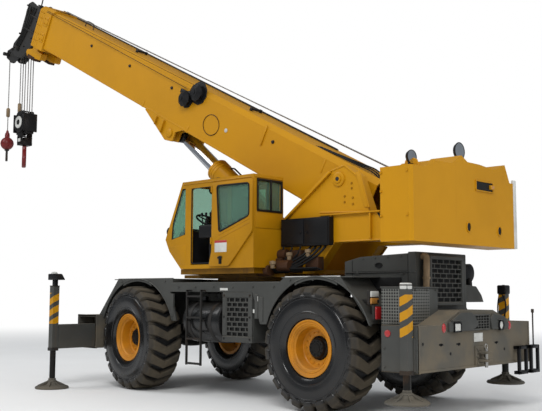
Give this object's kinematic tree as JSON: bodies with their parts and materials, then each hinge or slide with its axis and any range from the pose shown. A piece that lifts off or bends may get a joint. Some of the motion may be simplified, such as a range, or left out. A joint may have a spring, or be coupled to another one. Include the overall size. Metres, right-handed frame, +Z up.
{
  "type": "mobile crane",
  "caption": "Rough-terrain mobile crane with a telescopic boom, outriggers, slewing cab, hook block and ball hook.",
  "frame": {"origin": "on the ground, under the middle of the overall box as the crane stands", "axes": "+X forward along the boom, +Y to the left, +Z up"},
  "size_m": [12.133, 4.724, 7.7885],
  "materials": {
    "boom_yellow": "gloss paint, weathered",
    "carrier_grey": "satin paint, dusty",
    "dark_steel": "matt paint",
    "rim_yellow": "gloss paint",
    "tyre": "dusty rubber",
    "glass": "tinted",
    "bright_rod": "polished",
    "bare_steel": "worn",
    "hook_red": "worn paint",
    "hook_black": "worn paint",
    "black_plastic": "grained",
    "lamp_red": "moulded lens",
    "outrigger_stripe": "striped paint"
  },
  "bodies": {
    "carrier": {"carrier_frame": "carrier_grey", "slew_ring": "dark_steel", "left_deck": "carrier_grey", "right_deck": "carrier_grey", "front_deck": "carrier_grey", "outrigger_boxes": "carrier_grey", "rear_hump": "carrier_grey", "engine_hood": "carrier_grey", "engine": "dark_steel", "radiator_grille": "dark_steel", "hood_fittings": "carrier_grey", "rear_guard": "carrier_grey", "fuel_tank": "carrier_grey", "right_tank": "carrier_grey", "side_grille_box": "carrier_grey", "steps": "carrier_grey", "front_axle": "carrier_grey", "rear_axle": "carrier_grey", "tail_lamps": "lamp_red", "tow_clevis": "carrier_grey"},
    "superstructure": {"turntable": "dark_steel", "mast": "boom_yellow", "counterweight": "boom_yellow", "winches": "dark_steel", "cab_shell": "boom_yellow", "cab_glass": "glass", "cab_interior": "black_plastic", "valve_cabinet": "dark_steel"},
    "door": {"cab_door": "boom_yellow"},
    "boom": {"boom_base": "boom_yellow", "cable_reels": "dark_steel"},
    "mid_section_1": {"boom_mid_1": "boom_yellow"},
    "mid_section_2": {"boom_mid_2": "boom_yellow"},
    "fly_section": {"boom_fly": "dark_steel", "head_sheaves": "dark_steel"},
    "lift_rod_body": {"lift_rod": "bright_rod"},
    "lift_barrel_body": {"lift_barrel": "boom_yellow"},
    "block": {"hook_block": "hook_black"},
    "hook": {"main_hook": "hook_red"},
    "ball": {"ball_hook": "hook_red"},
    "front_left_steer": {"front_left_knuckle": "carrier_grey"},
    "front_left_wheel": {"front_left_rim": "rim_yellow", "front_left_tyre": "tyre"},
    "front_right_steer": {"front_right_knuckle": "carrier_grey"},
    "front_right_wheel": {"front_right_rim": "rim_yellow", "front_right_tyre": "tyre"},
    "rear_left_steer": {"rear_left_knuckle": "carrier_grey"},
    "rear_left_wheel": {"rear_left_rim": "rim_yellow", "rear_left_tyre": "tyre"},
    "rear_right_steer": {"rear_right_knuckle": "carrier_grey"},
    "rear_right_wheel": {"rear_right_rim": "rim_yellow", "rear_right_tyre": "tyre"},
    "front_left_outrigger": {"front_left_beam": "outrigger_stripe"},
    "front_left_float": {"front_left_jack": "bare_steel"},
    "front_right_outrigger": {"front_right_beam": "outrigger_stripe"},
    "front_right_float": {"front_right_jack": "bare_steel"},
    "rear_left_outrigger": {"rear_left_beam": "outrigger_stripe"},
    "rear_left_float": {"rear_left_jack": "bare_steel"},
    "rear_right_outrigger": {"rear_right_beam": "outrigger_stripe"},
    "rear_right_float": {"rear_right_jack": "bare_steel"}
  },
  "joints": [
    {"name": "slew", "type": "hinge", "parent": "carrier", "child": "superstructure", "pos_m": [-2.29261, 0, 1.69], "axis": [0, 0, 1], "continuous": true},
    {"name": "door_slide", "type": "slide", "parent": "superstructure", "child": "door", "axis": [1, 0, 0], "range_m": [0, 0.5]},
    {"name": "luff", "type": "hinge", "parent": "superstructure", "child": "boom", "pos_m": [-4.15261, 0, 3.08], "axis": [0, -1, 0], "range_deg": [-30.2, 50.8]},
    {"name": "telescope_1", "type": "slide", "parent": "boom", "child": "mid_section_1", "axis": [0.8894, 0, 0.4571], "range_m": [0, 7.1]},
    {"name": "telescope_2", "type": "slide", "parent": "mid_section_1", "child": "mid_section_2", "axis": [0.8894, 0, 0.4571], "range_m": [0, 7.1]},
    {"name": "telescope_3", "type": "slide", "parent": "mid_section_2", "child": "fly_section", "axis": [0.8894, 0, 0.4571], "range_m": [0, 7.1]},
    {"name": "hook_swing", "type": "hinge", "parent": "fly_section", "child": "block", "pos_m": [5.17073, 0, 6.85965], "axis": [0, -1, 0], "range_deg": [-51.3, 30.7]},
    {"name": "hook_swivel", "type": "hinge", "parent": "block", "child": "hook", "pos_m": [5.17073, 0, 4.835], "axis": [0, 0, 1], "continuous": true},
    {"name": "ball_swing", "type": "hinge", "parent": "fly_section", "child": "ball", "pos_m": [5.76121, 0, 6.8483], "axis": [0, -1, 0], "range_deg": [-51.3, 30.7]},
    {"name": "lift_rod_pin", "type": "hinge", "parent": "boom", "child": "lift_rod_body", "pos_m": [-0.20765, 0, 4.26418], "axis": [0, -1, 0], "range_deg": [-1, 1.5]},
    {"name": "lift_stroke", "type": "slide", "parent": "lift_rod_body", "child": "lift_barrel_body", "axis": [-0.7756, 0, -0.6312], "range_m": [-0.79, 1.32]},
    {"name": "front_left_steering", "type": "hinge", "parent": "carrier", "child": "front_left_steer", "pos_m": [-0.49261, 0.96, 0.808], "axis": [0, 0, 1], "range_deg": [-18.5, 33.5]},
    {"name": "front_left_roll", "type": "hinge", "parent": "front_left_steer", "child": "front_left_wheel", "pos_m": [-0.47434, 1.0988, 0.808], "axis": [0.1305, 0.9914, 0], "continuous": true},
    {"name": "front_right_steering", "type": "hinge", "parent": "carrier", "child": "front_right_steer", "pos_m": [-0.49261, -0.96, 0.808], "axis": [0, 0, 1], "range_deg": [-18.5, 33.5]},
    {"name": "front_right_roll", "type": "hinge", "parent": "front_right_steer", "child": "front_right_wheel", "pos_m": [-0.51089, -1.0988, 0.808], "axis": [0.1305, 0.9914, 0], "continuous": true},
    {"name": "rear_left_steering", "type": "hinge", "parent": "carrier", "child": "rear_left_steer", "pos_m": [-4.23261, 0.96, 0.808], "axis": [0, 0, 1], "range_deg": [-18, 18]},
    {"name": "rear_left_roll", "type": "hinge", "parent": "rear_left_steer", "child": "rear_left_wheel", "pos_m": [-4.23261, 1.1, 0.808], "axis": [0, 1, 0], "continuous": true},
    {"name": "rear_right_steering", "type": "hinge", "parent": "carrier", "child": "rear_right_steer", "pos_m": [-4.23261, -0.96, 0.808], "axis": [0, 0, 1], "range_deg": [-18, 18]},
    {"name": "rear_right_roll", "type": "hinge", "parent": "rear_right_steer", "child": "rear_right_wheel", "pos_m": [-4.23261, -1.1, 0.808], "axis": [0, 1, 0], "continuous": true},
    {"name": "front_left_beam_slide", "type": "slide", "parent": "carrier", "child": "front_left_outrigger", "axis": [0, 1, 0], "range_m": [-0.64, 1.27]},
    {"name": "front_left_jack_slide", "type": "slide", "parent": "front_left_outrigger", "child": "front_left_float", "axis": [0, 0, -1], "range_m": [-0.262, 0.388]},
    {"name": "front_right_beam_slide", "type": "slide", "parent": "carrier", "child": "front_right_outrigger", "axis": [0, -1, 0], "range_m": [-0.64, 1.27]},
    {"name": "front_right_jack_slide", "type": "slide", "parent": "front_right_outrigger", "child": "front_right_float", "axis": [0, 0, -1], "range_m": [-0.262, 0.388]},
    {"name": "rear_left_beam_slide", "type": "slide", "parent": "carrier", "child": "rear_left_outrigger", "axis": [0, 1, 0], "range_m": [0, 1.91]},
    {"name": "rear_left_jack_slide", "type": "slide", "parent": "rear_left_outrigger", "child": "rear_left_float", "axis": [0, 0, -1], "range_m": [0, 0.65]},
    {"name": "rear_right_beam_slide", "type": "slide", "parent": "carrier", "child": "rear_right_outrigger", "axis": [0, -1, 0], "range_m": [0, 1.91]},
    {"name": "rear_right_jack_slide", "type": "slide", "parent": "rear_right_outrigger", "child": "rear_right_float", "axis": [0, 0, -1], "range_m": [0, 0.65]}
  ],
  "couplings": [
    {"joint": "telescope_2", "follows": "telescope_1", "ratio": 1},
    {"joint": "telescope_3", "follows": "telescope_1", "ratio": 1},
    {"joint": "hook_swing", "follows": "luff", "ratio": -1},
    {"joint": "ball_swing", "follows": "luff", "ratio": -1},
    {"joint": "lift_rod_pin", "follows": "luff", "ratio": 0.02},
    {"joint": "lift_stroke", "follows": "luff", "m_per_rad": 1.4696},
    {"joint": "front_right_steering", "follows": "front_left_steering", "ratio": 1},
    {"joint": "rear_right_steering", "follows": "rear_left_steering", "ratio": 1}
  ]
}
